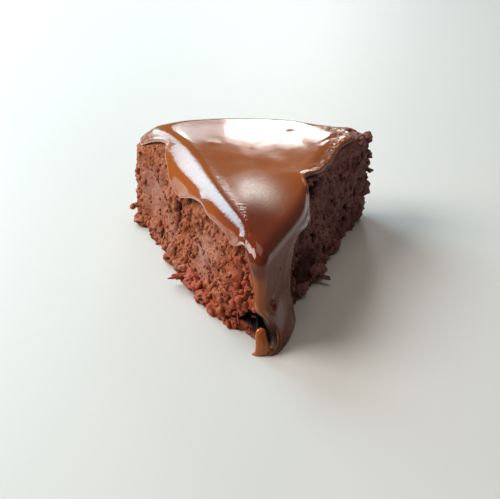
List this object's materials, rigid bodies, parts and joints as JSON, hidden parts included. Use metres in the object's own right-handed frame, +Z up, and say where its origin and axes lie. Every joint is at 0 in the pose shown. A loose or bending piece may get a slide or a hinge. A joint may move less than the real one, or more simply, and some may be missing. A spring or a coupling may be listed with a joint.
{
  "type": "slice of beetroot cake",
  "caption": "Wedge of dark beetroot and chocolate sponge with craggy cut faces, under a poured glossy chocolate glaze that drips over the edges and runs down the point.",
  "frame": {"origin": "on the flat underside of the sponge, on the wedge's middle line, 56 mm behind its point", "axes": "+Z up, +Y from the point towards the round outer side, +X to the right as seen from the point"},
  "size_m": [0.0867, 0.1058, 0.0361],
  "materials": {
    "crumb": "moist, open, matt cake crumb, red-brown, darker in its pores and tears",
    "glaze": "smooth set milk chocolate glaze, glossy"
  },
  "bodies": {
    "root": {"sponge": "crumb", "glaze": "glaze"}
  },
  "joints": []
}
